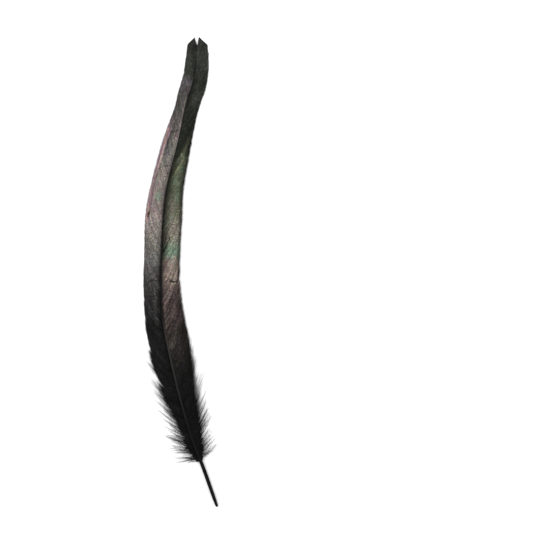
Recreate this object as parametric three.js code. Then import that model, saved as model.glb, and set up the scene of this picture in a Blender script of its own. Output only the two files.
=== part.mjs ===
// A rooster's tail feather: a long, narrow, saber-curved feather with a notched tip, dyed black.
// It lies on its hollow underside with the glossy side up. It grew as one piece, so it is one body:
// the shaft, a vane of barbs on each side of it, and the loose down at the foot of both vanes.
//
// Millimetres. +Y runs from the quill to the tip, +X is right seen from above and +Z is up.
// The origin is on the surface that the feather lies on, under the middle of its bounding box.

import * as THREE from 'three';
import { mergeVertices } from 'three/addons/utils/BufferGeometryUtils.js';

// The shaft's line. Each row is the distance along it from the end of the quill, then x, y and the
// height of its underside: a long bend to the left, a kink back below the tip, and a low arch.
const SHAFT_LENGTH = 328.6;
const SHAFT_LINE = [
  [0, 25.3, -162.7, 0],
  [15, 20.3, -148.6, 0],
  [29, 15.6, -135.4, 0],
  [51, 7.9, -115.2, 0.7],
  [75, 1.0, -92.1, 1.7],
  [98, -4.6, -69.9, 2.6],
  [131, -11.3, -37.9, 3.5],
  [150, -13.2, -19.4, 3.85],
  [173, -13.1, 3.5, 4.1],
  [209, -12.0, 39.5, 4.0],
  [227, -10.0, 57.1, 3.75],
  [259, -2.4, 88.6, 2.95],
  [287, 3.8, 116.5, 2.0],
  [305, 9.1, 133.6, 1.35],
  [SHAFT_LENGTH, 11.6, 157.2, 0.7],
];

// Width and height of the shaft's section along it: a round quill, then a ridge that thins to a hair.
const SHAFT_SECTION = [
  [0, 1.6, 1.6],
  [6, 2.1, 2.1],
  [30, 2.3, 2.3],
  [60, 2.1, 2.2],
  [110, 1.6, 1.8],
  [180, 1.2, 1.4],
  [250, 0.9, 1.0],
  [300, 0.7, 0.7],
  [SHAFT_LENGTH, 0.5, 0.5],
];
const QUILL_DOME = 0.7; // the quill's end rounds off over this length
const GROOVE_SHARE = 0.3; // depth of the groove under the shaft, as a share of its height
const KEEL_SHARE = 0.55; // width of the flat underside, as a share of the shaft's width
const VANE_BELOW_CREST = 0.25; // the vanes join the shaft this far under its crest

// The barbs, row by row. Two rows make one lock, and the locks at the foot are narrower.
const VANE_FOOT = 34;
const DOWN_END = 93;
const FOOT_ROW_PITCH = 1.75;
const ROW_PITCH = 3.2;
const QUILL_ROW_PITCH = 7;
const BARB_BEND = 0.5; // how much more a barb leans ahead at the edge than in its middle, as a share
const BARB_COLUMNS = [0, 0.3, 0.58, 0.8, 1]; // shares of a barb's length from the shaft to its tip
const LOCK_RELIEF = 0.14;
const LOCK_NIP = 0.25; // the edge dips this much between two locks
const THICKNESS_AT_SHAFT = 0.5;
const THICKNESS_AT_EDGE = 0.3;

// Heights that the tips of the down take in turn, from lying flat to standing loose.
const DOWN_HEIGHTS = [0.5, 4.2, 1.6, 7.3, 2.8, 5.6, 0.9];
const DOWN_UNEVENNESS = 0.2;

// The two vanes. side is 1 on the left. edge holds rows of distance along the shaft, half-width and
// height of the edge. reach says how far past its root a barb meets the edge, and down how far from
// the shaft the down's tips are, both by the distance of the root. Past the shoulder, which is the
// edge's last row, the barbs end on a slope that leads in to the lobe. A split is where two barbs
// came apart.
const LEFT_VANE = {
  side: 1,
  edge: [
    [34, 2.4, 1.6],
    [44, 5.4, 1.5],
    [60, 6.6, 1.3],
    [72, 9.2, 1.2],
    [84, 11.6, 1.1],
    [108, 12.7, 0.9],
    [130, 12.5, 0.6],
    [150, 12.0, 0.3],
    [180, 12.4, 0.16],
    [208, 12.4, 0.16],
    [228, 10.8, 0.3],
    [254, 10.6, 0.4],
    [266, 9.2, 0.5],
    [284, 6.8, 0.5],
    [299, 7.8, 0.4],
    [312, 7.4, 0.3],
    [328.4, 6.6, 0.15],
  ],
  reach: [
    [34, 0.3],
    [44, 2.4],
    [60, 6.5],
    [75, 12.5],
    [90, 18],
    [125, 25],
    [200, 25.5],
    [240, 21],
    [262, 17.5],
    [290, 16.5],
    [314, 14.4],
  ],
  down: [
    [34, 18.6],
    [44, 19.0],
    [56, 18.6],
    [68, 19.4],
    [78, 19.4],
    [86, 18.0],
    [DOWN_END, 15.5],
  ],
  lobe: { along: 333.3, halfWidth: 2.6 },
  splits: [
    { along: 93, depth: 1.7 },
    { along: 119, depth: 1.5 },
  ],
  fold: { from: 204, to: 272, rise: 0.7 },
};
const RIGHT_VANE = {
  side: -1,
  edge: [
    [34, 2.4, 1.6],
    [46, 6.6, 1.5],
    [62, 10.4, 1.4],
    [82, 13.0, 1.3],
    [102, 14.8, 1.2],
    [125, 15.4, 1.1],
    [150, 14.1, 1.0],
    [166, 12.7, 1.0],
    [190, 12.7, 0.9],
    [210, 13.2, 0.8],
    [232, 11.7, 0.7],
    [258, 9.7, 0.6],
    [278, 9.2, 0.5],
    [298, 9.6, 0.4],
    [320, 8.7, 0.3],
    [329.6, 7.0, 0.15],
  ],
  reach: [
    [34, 0.4],
    [44, 3],
    [60, 8],
    [75, 14],
    [90, 20.5],
    [125, 28],
    [200, 27.5],
    [240, 23],
    [270, 23],
    [307, 22.6],
  ],
  down: [
    [34, 17.0],
    [46, 19.6],
    [60, 21.2],
    [76, 21.4],
    [86, 20.2],
    [DOWN_END, 18.4],
  ],
  lobe: { along: 334, halfWidth: 0.5 },
  splits: [{ along: 165, depth: 1.2 }],
  fold: { from: 0, to: 1, rise: 0 },
};
const SPLIT_REACH = 4;

// Smooth curve through rows of [place, value, ...]: the value in a column at any place.
function through(rows, place, column = 1) {
  const last = rows.length - 1;
  const held = THREE.MathUtils.clamp(place, rows[0][0], rows[last][0]);
  let i = 0;
  while (i < last - 1 && held > rows[i + 1][0]) i += 1;
  const slope = (j) => {
    const before = rows[Math.max(j - 1, 0)];
    const after = rows[Math.min(j + 1, last)];
    return (after[column] - before[column]) / (after[0] - before[0]);
  };
  const step = rows[i + 1][0] - rows[i][0];
  const t = (held - rows[i][0]) / step;
  const rise = t * t * (3 - 2 * t);
  return (
    THREE.MathUtils.lerp(rows[i][column], rows[i + 1][column], rise) +
    slope(i) * step * t * (1 - t) * (1 - t) -
    slope(i + 1) * step * t * t * (1 - t)
  );
}

// A point in the middle of the shaft, with the level directions along it and to its left. Past the
// end of the shaft the line goes straight on.
function shaftAt(along) {
  const held = THREE.MathUtils.clamp(along, 0, SHAFT_LENGTH);
  const pointAt = (place) => {
    const [x, y, underside] = [1, 2, 3].map((column) => through(SHAFT_LINE, place, column));
    const halfHeight = through(SHAFT_SECTION, place, 2) / 2;
    return new THREE.Vector3(x, y, Math.max(underside, 0) + halfHeight);
  };
  const reach = 1;
  const from = pointAt(Math.max(held - reach, 0));
  const to = pointAt(Math.min(held + reach, SHAFT_LENGTH));
  const ahead = to.sub(from).setZ(0).normalize();
  const point = pointAt(held).addScaledVector(ahead, along - held);
  return { point, ahead, left: new THREE.Vector3(-ahead.y, ahead.x, 0) };
}

// The eight corners of the shaft's section: crest, shoulders, sides, and the underside with its groove.
function shaftCorners(along) {
  const { point, left } = shaftAt(along);
  const dome = along < QUILL_DOME ? Math.sqrt(1 - (1 - along / QUILL_DOME) ** 2) : 1;
  const halfWidth = (through(SHAFT_SECTION, along, 1) / 2) * dome;
  const halfHeight = (through(SHAFT_SECTION, along, 2) / 2) * dome;
  const grooved = THREE.MathUtils.smoothstep(along, VANE_FOOT / 2, VANE_FOOT * 1.5);
  const corner = (across, up) =>
    point.clone().addScaledVector(left, across * halfWidth).add(new THREE.Vector3(0, 0, up * halfHeight));
  const slant = Math.SQRT1_2;
  return {
    crest: corner(0, 1),
    leftShoulder: corner(slant, slant),
    rightShoulder: corner(-slant, slant),
    leftSide: corner(1, 0),
    rightSide: corner(-1, 0),
    lowLeft: corner(KEEL_SHARE, -1),
    lowRight: corner(-KEEL_SHARE, -1),
    groove: corner(0, -1 + 2 * GROOVE_SHARE * grooved),
  };
}

// How far the splits draw the edge in at a place.
function splitDepth(splits, along) {
  return splits.reduce((deepest, split) => {
    const past = (along - split.along) / SPLIT_REACH;
    const depth = past >= 0 && past <= 1 ? split.depth * (1 - past) : 0;
    return Math.max(deepest, depth);
  }, 0);
}

// Where the barbs with their root at a place end: the distance from the shaft and the height there.
// reach is how far past the root they meet the vane's edge, at vaneShare of the way to the tip. Every
// second row of the foot is a lock of down, which goes on past the edge, and every second row above
// it is the nip between two locks.
function barbEnd(vane, rootAlong, row) {
  const shoulderRoot = vane.reach[vane.reach.length - 1][0];
  const shoulder = vane.edge[vane.edge.length - 1];
  if (rootAlong > shoulderRoot) {
    const share = (rootAlong - shoulderRoot) / (SHAFT_LENGTH - shoulderRoot);
    return {
      reach: THREE.MathUtils.lerp(shoulder[0], vane.lobe.along, share) - rootAlong,
      vaneShare: 1,
      halfWidth: THREE.MathUtils.lerp(shoulder[1], vane.lobe.halfWidth, share),
      height: shoulder[2],
    };
  }
  const reach = through(vane.reach, rootAlong);
  const along = rootAlong + reach;
  const edge = through(vane.edge, along);
  const nip = row % 2 === 0 ? LOCK_NIP : 0;
  let halfWidth = edge - nip - splitDepth(vane.splits, along);
  let height = through(vane.edge, along, 2);
  if (row % 2 === 1 && rootAlong < DOWN_END) {
    const lock = (row - 1) / 2;
    halfWidth = through(vane.down, rootAlong) * (1 - DOWN_UNEVENNESS * ((lock * 0.618) % 1));
    height = DOWN_HEIGHTS[(lock + (vane.side > 0 ? 0 : 3)) % DOWN_HEIGHTS.length];
  }
  return { reach, vaneShare: edge / halfWidth, halfWidth, height };
}

// How far along the shaft a barb has come at a share of its way out. It leaves the shaft steeply,
// bends towards the feather's tip, and goes on straight past the vane's edge.
function barbAlong(rootAlong, end, share) {
  const out = share / end.vaneShare;
  const ahead = out < 1 ? out * (1 - BARB_BEND + BARB_BEND * out) : 1 + (1 + BARB_BEND) * (out - 1);
  return rootAlong + end.reach * ahead;
}

// One row of a vane, from the shaft's side to the edge: points of its upper and its lower face. The
// vane is arched like a roof, and rows are raised and lowered in turn so that the locks show.
function vaneRow(vane, rootAlong, row) {
  const corners = shaftCorners(rootAlong);
  const root = vane.side > 0 ? corners.leftSide : corners.rightSide;
  if (rootAlong < VANE_FOOT) {
    const bare = BARB_COLUMNS.map(() => root);
    return { upper: bare, lower: bare };
  }
  const end = barbEnd(vane, rootAlong, row);
  const rootHalfWidth = through(SHAFT_SECTION, rootAlong, 1) / 2;
  const shaftTop = shaftAt(rootAlong).point.z + through(SHAFT_SECTION, rootAlong, 2) / 2;
  const relief = (row % 2 === 1 ? 1 : -1) * LOCK_RELIEF;
  const { from, to, rise } = vane.fold;
  const foldShare = THREE.MathUtils.clamp((rootAlong + end.reach - from) / (to - from), 0, 1);
  const fold = rise * Math.sin(Math.PI * foldShare);
  const faces = { upper: [], lower: [] };
  BARB_COLUMNS.forEach((share, column) => {
    const { point, left } = shaftAt(barbAlong(rootAlong, end, share));
    const across = THREE.MathUtils.lerp(rootHalfWidth, end.halfWidth, share);
    point.addScaledVector(left, vane.side * across);
    const arch = THREE.MathUtils.lerp(shaftTop - VANE_BELOW_CREST, end.height, share * share);
    const crease = column === BARB_COLUMNS.length - 2 ? -fold / 2 : 0;
    const curl = column === BARB_COLUMNS.length - 1 ? fold : 0;
    const height = arch + relief * Math.sin(Math.PI * share) + crease + curl;
    const half = THREE.MathUtils.lerp(THICKNESS_AT_SHAFT, THICKNESS_AT_EDGE, share) / 2;
    faces.upper.push(point.clone().setZ(height + half));
    faces.lower.push(point.clone().setZ(height - half));
  });
  return faces;
}

// Distances along the shaft of all the rows, from the quill's end to the tip.
function rowPlaces() {
  const places = [0, QUILL_DOME * 0.3, QUILL_DOME];
  const run = (to, pitch) => {
    const from = places[places.length - 1];
    const count = Math.max(1, Math.round((to - from) / pitch));
    for (let i = 1; i <= count; i += 1) places.push(from + ((to - from) * i) / count);
  };
  run(VANE_FOOT - FOOT_ROW_PITCH, QUILL_ROW_PITCH);
  run(VANE_FOOT, FOOT_ROW_PITCH);
  run(DOWN_END, FOOT_ROW_PITCH);
  const shoulders = [LEFT_VANE, RIGHT_VANE].map((vane) => vane.reach[vane.reach.length - 1][0]);
  shoulders.sort((a, b) => a - b);
  run(shoulders[0], ROW_PITCH);
  run(shoulders[1], ROW_PITCH);
  run(SHAFT_LENGTH, ROW_PITCH);
  return places;
}

// One row across the whole feather, from the left edge over the shaft to the right edge.
function crossRow(along, row) {
  const left = vaneRow(LEFT_VANE, along, row);
  const right = vaneRow(RIGHT_VANE, along, row);
  const { crest, leftShoulder, rightShoulder, lowLeft, lowRight, groove } = shaftCorners(along);
  return {
    upper: [...left.upper.slice().reverse(), leftShoulder, crest, rightShoulder, ...right.upper],
    lower: [...left.lower.slice().reverse(), lowLeft, groove, lowRight, ...right.lower],
  };
}

// Closed skin over rows that each have an upper and a lower line of points. Points that fall
// together, as at the bare quill, leave faces with no area, and these are dropped.
function skin(rows) {
  const width = rows[0].upper.length;
  const points = rows.flatMap(({ upper, lower }) => [...upper, ...lower]);
  const triangles = [];
  const upper = (row, i) => row * 2 * width + i;
  const lower = (row, i) => upper(row, i) + width;
  const quad = (a, b, c, d) => triangles.push([a, b, c], [a, c, d]);
  const end = rows.length - 1;
  for (let row = 0; row < end; row += 1) {
    for (let i = 0; i < width - 1; i += 1) {
      quad(upper(row, i), upper(row, i + 1), upper(row + 1, i + 1), upper(row + 1, i));
      quad(lower(row, i), lower(row + 1, i), lower(row + 1, i + 1), lower(row, i + 1));
    }
    const rim = width - 1;
    quad(upper(row, 0), upper(row + 1, 0), lower(row + 1, 0), lower(row, 0));
    quad(upper(row, rim), lower(row, rim), lower(row + 1, rim), upper(row + 1, rim));
  }
  for (let i = 0; i < width - 1; i += 1) {
    quad(upper(0, i), lower(0, i), lower(0, i + 1), upper(0, i + 1));
    quad(upper(end, i), upper(end, i + 1), lower(end, i + 1), lower(end, i));
  }
  const loose = new THREE.BufferGeometry();
  loose.setAttribute(
    'position',
    new THREE.Float32BufferAttribute(points.flatMap((point) => point.toArray()), 3),
  );
  loose.setIndex(triangles.flat());
  const geometry = mergeVertices(loose, 1e-3);
  const merged = Array.from(geometry.index.array);
  const whole = [];
  for (let i = 0; i < merged.length; i += 3) {
    const [a, b, c] = merged.slice(i, i + 3);
    if (a !== b && b !== c && c !== a) whole.push(a, b, c);
  }
  geometry.setIndex(whole);
  geometry.computeVertexNormals();
  return geometry;
}

const dyedBlack = new THREE.MeshStandardMaterial({ color: 0x3a3836, roughness: 0.45, metalness: 0 });

const feather = new THREE.Mesh(skin(rowPlaces().map(crossRow)), dyedBlack);
feather.name = 'feather';

const roosterTailFeather = new THREE.Group();
roosterTailFeather.add(feather);

export default roosterTailFeather;
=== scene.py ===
# A rooster's tail feather, dyed black, lying glossy side up: the shaft, two vanes of single barbs
# and the loose down at the foot. The shaft's line and section and the vanes' edges and reaches
# follow the CAD part. Sizes are in millimetres, and each mesh is turned to metres as it is made.

import bpy
import numpy as np
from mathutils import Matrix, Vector


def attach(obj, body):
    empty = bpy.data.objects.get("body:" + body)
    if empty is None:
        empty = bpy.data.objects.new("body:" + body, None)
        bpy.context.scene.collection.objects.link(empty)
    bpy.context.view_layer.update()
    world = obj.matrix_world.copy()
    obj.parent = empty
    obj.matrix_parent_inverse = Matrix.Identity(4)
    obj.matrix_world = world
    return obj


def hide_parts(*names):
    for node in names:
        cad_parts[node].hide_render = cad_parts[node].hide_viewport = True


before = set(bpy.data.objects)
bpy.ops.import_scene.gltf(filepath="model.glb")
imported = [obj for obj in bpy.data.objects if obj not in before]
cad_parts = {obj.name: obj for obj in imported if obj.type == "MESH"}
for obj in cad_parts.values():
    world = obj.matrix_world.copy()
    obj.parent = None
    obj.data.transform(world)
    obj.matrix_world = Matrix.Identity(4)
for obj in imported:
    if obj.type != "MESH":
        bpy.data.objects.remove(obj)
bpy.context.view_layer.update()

MM = 0.001

SHAFT_LENGTH = 328.6
# By distance along the shaft: x, y and height of its underside, and its width and height.
SHAFT_LINE = [
    (0, 25.3, -162.7, 0), (15, 20.3, -148.6, 0), (29, 15.6, -135.4, 0), (51, 7.9, -115.2, 0.7),
    (75, 1, -92.1, 1.7), (98, -4.6, -69.9, 2.6), (131, -11.3, -37.9, 3.5),
    (150, -13.2, -19.4, 3.85), (173, -13.1, 3.5, 4.1), (209, -12, 39.5, 4), (227, -10, 57.1, 3.75),
    (259, -2.4, 88.6, 2.95), (287, 3.8, 116.5, 2), (305, 9.1, 133.6, 1.35),
    (SHAFT_LENGTH, 11.6, 157.2, 0.7),
]
SHAFT_SECTION = [
    (0, 1.7, 1.6), (6, 2.3, 2.1), (15, 2.5, 2.2), (30, 2.5, 2.3), (60, 2.2, 2.2), (110, 1.6, 1.8),
    (180, 1.2, 1.4), (250, 0.9, 1), (300, 0.7, 0.7), (SHAFT_LENGTH, 0.5, 0.5),
]
QUILL_DOME, DOME_END = 0.7, 0.1
DOME_RINGS = [0.01, 0.06, 0.15, 0.3, 0.5, QUILL_DOME]
RING_STEP = 1.2
# Half of its underside, in half-widths and half-heights, and how far the groove lifts it there.
UNDERSIDE = [
    (-0.93, -0.45, 0), (-0.8, -0.8, 0), (-0.55, -1, 0), (-0.25, -1, 0.3), (0, -1, 0.6),
]
VANE_BELOW_CREST = 0.25

# The vanes. edge: distance along the shaft, half-width, height. reach: how far past its root a
# barb meets the edge. down: how far out the down's tips are. lobe: the vane's tip, along and out.
# splits: where two barbs stand apart, how deep and how wide. notches: where the edge steps in, how
# far, and after what length it is out again. tufts: where the down is thicker, how far out it goes
# there, how many hairs more it has and how much of a barb's reach they take. fold: from where to
# where the edge is bent over, and how high.
VANE_FOOT = 34
LEFT = {
    "side": 1,
    "edge": [
        (34, 2.6, 1.6), (44, 5.7, 1.5), (60, 6.6, 1.3), (72, 9.4, 1.2), (84, 12, 1.1),
        (96, 12.8, 1), (108, 13.8, 0.9), (130, 13.1, 0.6), (148, 12.4, 0.3), (164, 12.6, 0.2),
        (180, 12.4, 0.16), (208, 12.5, 0.16), (228, 11.1, 0.3), (254, 10.7, 0.4), (266, 9.7, 0.5),
        (284, 7.2, 0.5), (299, 8.1, 0.4), (314, 7.5, 0.3), (328.6, 7, 0.15),
    ],
    "reach": [
        (34, 0.3), (44, 2.4), (60, 6.5), (75, 12.5), (90, 18), (125, 25), (200, 25.5), (240, 21),
        (262, 17.5), (290, 16.5), (314, 14.4),
    ],
    "down": [
        (34, 18.6), (44, 19), (56, 18.6), (68, 19.4), (78, 19.4), (86, 18), (93, 16), (101, 14.2),
    ],
    "lobe": (334, 2.4),
    "splits": [(96.2, 4.6, 2.2), (118.6, 2.4, 0.8), (151, 1.2, 0.35), (206, 1.2, 0.3)],
    "notches": [(96.2, 1.7, 13), (118.6, 1.1, 12), (138, 0.45, 4), (151, 0.4, 5)],
    "tufts": [
        (46.5, 17.5, 18, 1.05), (49, 15, 8, 1.05), (41.5, 17.5, 12, 1.05), (36, 9, 12, 1.05),
        (95.2, 15.4, 9, 1), (92, 18, 15, 0.65), (80.5, 18.8, 8, 0.6),
    ],
    "fold": (204, 272, 0.7),
}
RIGHT = {
    "side": -1,
    "edge": [
        (34, 2.4, 1.6), (46, 6.6, 1.5), (62, 10.4, 1.4), (82, 13, 1.3), (102, 14.8, 1.2),
        (125, 15.4, 1.1), (150, 14.1, 1), (166, 12.7, 1), (190, 12.7, 0.9), (210, 13.2, 0.8),
        (232, 11.7, 0.7), (258, 9.7, 0.6), (278, 9.2, 0.5), (298, 9.6, 0.4), (320, 8.7, 0.3),
        (329.6, 7, 0.15),
    ],
    "reach": [
        (34, 0.4), (44, 3), (60, 8), (75, 14), (90, 20.5), (125, 28), (200, 27.5), (240, 23),
        (270, 23), (307, 22.6),
    ],
    "down": [(34, 17), (46, 19.6), (60, 21.2), (76, 21.4), (86, 20.2), (93, 18.4), (100, 16.6)],
    "lobe": (334.6, 0.3),
    "splits": [(165, 2.6, 0.8), (133, 1.2, 0.35)],
    "notches": [(165, 0.5, 4)],
    "tufts": [(55, 17, 16, 1.05)],
    "fold": (0, 1, 0),
}

# Each barb is a flat ribbon with a rib, and laps over the next. It starts within the shaft.
BARB_PITCH, BARB_JITTER, BARB_OVERLAP = 0.44, 0.12, 1.5
BARB_STEPS, BARB_START, BARB_BEND = 15, 0.8, 0.5
# How wide a gap it may fill, alone and next to its neighbours' gaps. Wider ones stay open.
SPACING_RANGE, SPACING_EXCESS = (0.12, 0.6), 1.1
NEIGHBOURS = (-8, -5, -3, 0, 3, 5, 8)
# Across a barb, from the foot side to the tip side: share of its width, and height.
BARB_SECTION = [(-0.5, -0.035), (-0.12, 0.02), (0.1, 0.025), (0.5, 0.0), (0.0, -0.075)]
# The share of its length on which it narrows and of its width that it loses there: everywhere,
# more at the frayed foot, and less at the tip.
POINT_SHARE, FRAYED_POINT = 0.14, 0.3
POINT_LOSS, FRAYED_LOSS, TIP_GAIN, TIP_FADE = 0.6, 0.25, 0.5, 4
# The edge is even to EDGE_NOISE as far as the tip, and frayed up to FRAY_END.
EDGE_NOISE, EDGE_FADE = 0.1, 6
FRAY_START, FRAY_RISE, FRAY_END, FRAY_FADE, FRAY_RANGE = 0.4, 8, 100, 30, (-1.3, 1.5)
SPLIT_FADE = 2.2  # how far along the shaft a split pushes barbs aside
# The relief: waves where barbs gather in locks, and unevenness over NOISE_REACH barbs.
FOOT_WAVE, FOOT_WAVE_END, VANE_WAVE = 3.5, 93, 6.4
LOCK_RELIEF, WAVE_SHARE, NOISE_SHARE, NOISE_REACH = 0.14, 0.7, 0.35, 9
# The fold, by share of the way out: how much of its height a barb goes up or down.
FOLD_SHAPE = ([0, 0.62, 0.8, 0.93, 1], [0, 0, -0.5, 0.7, 1])
# How much of a barb's tone is its own, and how much it shares with so many neighbours.
OWN_TONE, TONE_NOISE = 0.5, [(0.3, 2), (0.3, 8)]

# The down. Heights that its locks' tips take in turn, and how unevenly long they are.
DOWN_HEIGHTS = (0.5, 4.2, 1.6, 7.3, 2.8, 5.6, 0.9)
DOWN_UNEVENNESS, GOLDEN, FIRST_LOCK, OTHER_SIDE = 0.2, 0.618, 4, 3
LOCK_PITCH, LOCK_DRIFT, LOCK_TURN = 2.5, 0.7, (0.88, 1.12)
LOCK_HAIRS, LONE_HAIRS, SHORT_HAIRS = 5, 3, 4
SHORT_REACH, SHORT_LIFT, TUFT_LIFT, OWN_LIFT = 0.68, 0.5, 2.5, (0.4, 1.0)
# How hairs grow round one root: how far apart they start, the shortest one's share of the reach,
# how differently they turn, and whether they run together in a lock.
LOCK, TUFT_LOCK = (0.35, 0.72, 0.02, True), (0.3, 0.75, 0.02, True)
LONE, SHORT, TUFT_LONE = (1.8, 0.6, 0.3, False), (1.4, 0.6, 0.25, False), (1.3, 0.7, 0.2, False)
HAIR_STEPS, HAIR_START, LONGEST, LOWEST_TIP = 12, 0.7, 1.02, 0.2
# Sway and ripple: how wide, and how many half waves. OWN_SWAY is a hair's own within a lock.
SWAY, RIPPLE, OWN_SWAY = (0.7, 1.5), (0.35, 4), 0.25
# From TURN_FROM up, hairs turn towards the tip beyond the vane's edge.
TURN_FROM, TURN_FADE, TURN_MOST, TURN_AHEAD = 50, 30, 1.2, 0.5
# They lie under the vane, rise from this share of its half-width on, and clear the floor.
BELOW_VANE, LIFT_FROM, LIFT_BEND, HAIR_FLOOR = 0.3, 0.92, 0.6, 0.12
HAIR_THICKNESS = ([0, 0.5, 1], [0.11, 0.09, 0.04])
# Pairs, for hairs in a lock, where short, dense barbules make a dark strand, and for others.
HAIR_GIRTH, BARBULE_DENSITY, BARBULE_REACH = (1.5, 0.9), (1.3, 0.6), (0.35, 1)
BARBULE_PITCH, BARBULE_SHARE, BARBULE_PLACES = 0.24, 0.76, (0.22, 0.985)
BARBULE_LEAN, BARBULE_TILT, BARBULE_TIPS = (22, 46), 0.35, (0.06, 7.5)
BARBULE_LENGTH, BARBULE_HALF = (0.6, 1.9), 0.016
BARBULE_TAPER = ([0.2, 0.5, 1], [1, 1, 0.4])

# The flat maps for copies with baked colours: columns of barbs, the margin at their ends, how
# many sides of a barb are upper ones and their share of the map, and rows of the shaft.
MAP_COLUMNS, MAP_MARGIN, UPPER_SIDES, UPPER_SHARE = 4, 0.01, 3, 0.7
SHAFT_MAP_ROWS = 8


def through(rows, place, column=1):
    """Smooth curve through rows of (place, value, ...): the values in a column at many places."""
    table = np.array(rows, float)
    x, y = table[:, 0], table[:, column]
    slope = np.gradient(y) / np.gradient(x)
    held = np.clip(place, x[0], x[-1])
    i = np.clip(np.searchsorted(x, held) - 1, 0, len(x) - 2)
    step = x[i + 1] - x[i]
    t = (held - x[i]) / step
    rise = t * t * (3 - 2 * t)
    bend = slope[i] * t * (1 - t) ** 2 - slope[i + 1] * t * t * (1 - t)
    return y[i] + (y[i + 1] - y[i]) * rise + bend * step


def clamp(values):
    return np.clip(values, 0, 1)


def unit(vectors):
    return vectors / np.linalg.norm(vectors, axis=-1, keepdims=True)


def shaft_point(along):
    x, y, underside = (through(SHAFT_LINE, along, c) for c in (1, 2, 3))
    z = np.maximum(underside, 0) + through(SHAFT_SECTION, along, 2) / 2
    return np.stack([x, y, z], -1)


def shaft_at(along):
    """Points in the middle of the shaft, and the level directions along it and to its left."""
    along = np.asarray(along, float)
    held = np.clip(along, 0, SHAFT_LENGTH)
    ahead = shaft_point(np.minimum(held + 1, SHAFT_LENGTH)) - shaft_point(np.maximum(held - 1, 0))
    ahead[..., 2] = 0
    ahead = unit(ahead)
    point = shaft_point(held) + ahead * (along - held)[..., None]
    left = np.stack([-ahead[..., 1], ahead[..., 0], np.zeros_like(along)], -1)
    return point, ahead, left


def beside_shaft(vane, along, out):
    """Points beside the shaft, by the distance along it and out from its middle."""
    point, _, left = shaft_at(along)
    return point + left * (vane["side"] * out)[..., None]


def vane_height(root):
    """The height at which the vanes join the shaft."""
    return shaft_at(root)[0][..., 2] + through(SHAFT_SECTION, root, 2) / 2 - VANE_BELOW_CREST


def smooth_noise(count, reach, seed):
    """A column of soft random numbers, about -1 to 1, that change over reach neighbours."""
    own = np.random.default_rng(seed)
    raw = own.normal(size=count + 6 * reach)
    window = np.hanning(2 * reach + 3)
    soft = np.convolve(raw, window / np.sqrt((window**2).sum()), "same")
    return soft[3 * reach : 3 * reach + count, None]


def split_shift(vane, tip_along, from_edge):
    """How far barbs are pushed apart along the shaft, beside the splits in the vane's edge."""
    shift = np.zeros_like(from_edge)
    for place, depth, width in vane["splits"]:
        off = tip_along - place
        near = np.exp(-np.abs(off) / SPLIT_FADE) * np.where(off > 0, 1, -1)
        shift += near * width / 2 * clamp(1 - from_edge / depth)
    return shift


def barb_ends(vane, root):
    """Where barbs meet the edge: how far past the root, the half-width and the height there."""
    shoulder_root = vane["reach"][-1][0]
    shoulder, width = vane["edge"][-1][:2]
    lobe, lobe_width = vane["lobe"]
    share = clamp((root - shoulder_root) / (SHAFT_LENGTH - shoulder_root))
    beyond = root > shoulder_root
    slope_reach = shoulder + (lobe - shoulder) * share - root
    reach = np.where(beyond, slope_reach, through(vane["reach"], root))
    edge = through(vane["edge"], root + reach)
    edge = np.where(beyond, width + (lobe_width - width) * share, edge)
    return reach, edge, through(vane["edge"], root + reach, 2)


def barb_along(root, reach, out):
    """How far along the shaft a barb has come, where out is its share of the way to the edge."""
    inside = out * (1 - BARB_BEND + BARB_BEND * out)
    outside = 1 + (1 + BARB_BEND) * (out - 1)
    return root + reach * np.where(out < 1, inside, outside)


def steps_out(root, end, start_share, steps):
    """Shares of the way along lines that grow from the shaft, and their distances out."""
    t = np.linspace(0, 1, steps + 1)[None, :]
    start = through(SHAFT_SECTION, root) / 2 * start_share
    return t, start + (end - start) * t


def frayed(root):
    """1 where the foot is frayed, fading to 0 at its end."""
    return clamp((FRAY_END - root) / FRAY_FADE)


def vane_lines(vane, root, seed):
    """Centre lines of the barbs, by barb and step, and where each point is on the vane."""
    count = len(root)
    reach, edge, edge_height = barb_ends(vane, root)
    tip_along = root + reach
    own = np.random.default_rng(seed + 2)
    fray = frayed(root) * clamp(FRAY_START + (root - VANE_FOOT) / FRAY_RISE)
    clean = clamp((vane["reach"][-1][0] - root) / EDGE_FADE)
    width = edge + EDGE_NOISE * clean * smooth_noise(count, 1, seed)
    for place, depth, length in vane["notches"]:
        past = (tip_along - place) / length
        width = width - depth * np.where(past > 0, clamp(1 - past), 0)
    width = width + fray * own.uniform(*FRAY_RANGE, (count, 1))
    t, across = steps_out(root, width, BARB_START, BARB_STEPS)
    along = barb_along(root, reach, across / edge)
    along = along + split_shift(vane, tip_along, edge - across)
    point = beside_shaft(vane, along, across)
    start = vane_height(root)
    period = np.where(root < FOOT_WAVE_END, FOOT_WAVE, VANE_WAVE)
    wave = np.sin(2 * np.pi * np.cumsum(np.gradient(root, axis=0) / period, 0))
    uneven = smooth_noise(count, NOISE_REACH, seed + 1)
    relief = LOCK_RELIEF * (WAVE_SHARE * wave + NOISE_SHARE * uneven)
    height = start + (edge_height - start) * t * t + relief * np.sin(np.pi * t)
    fold_from, fold_to, rise = vane["fold"]
    fold = rise * np.sin(np.pi * clamp((tip_along - fold_from) / (fold_to - fold_from)))
    point[..., 2] = height + fold * np.interp(t, *FOLD_SHAPE)
    return point, along, across, edge


def ribbons(point, wide, high, section):
    """Closed ribbons round centre lines: vertices by line, step and place in the section."""
    ahead = unit(np.gradient(point, axis=1))
    across = unit(np.cross(ahead, [0, 0, 1.0]))
    up = np.cross(across, ahead)
    side, rise = np.array(section, float).T[:, :, None]
    shell = point[:, :, None] + across[:, :, None] * wide[..., None, None] * side
    return shell + up[:, :, None] * high[..., None, None] * rise


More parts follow.
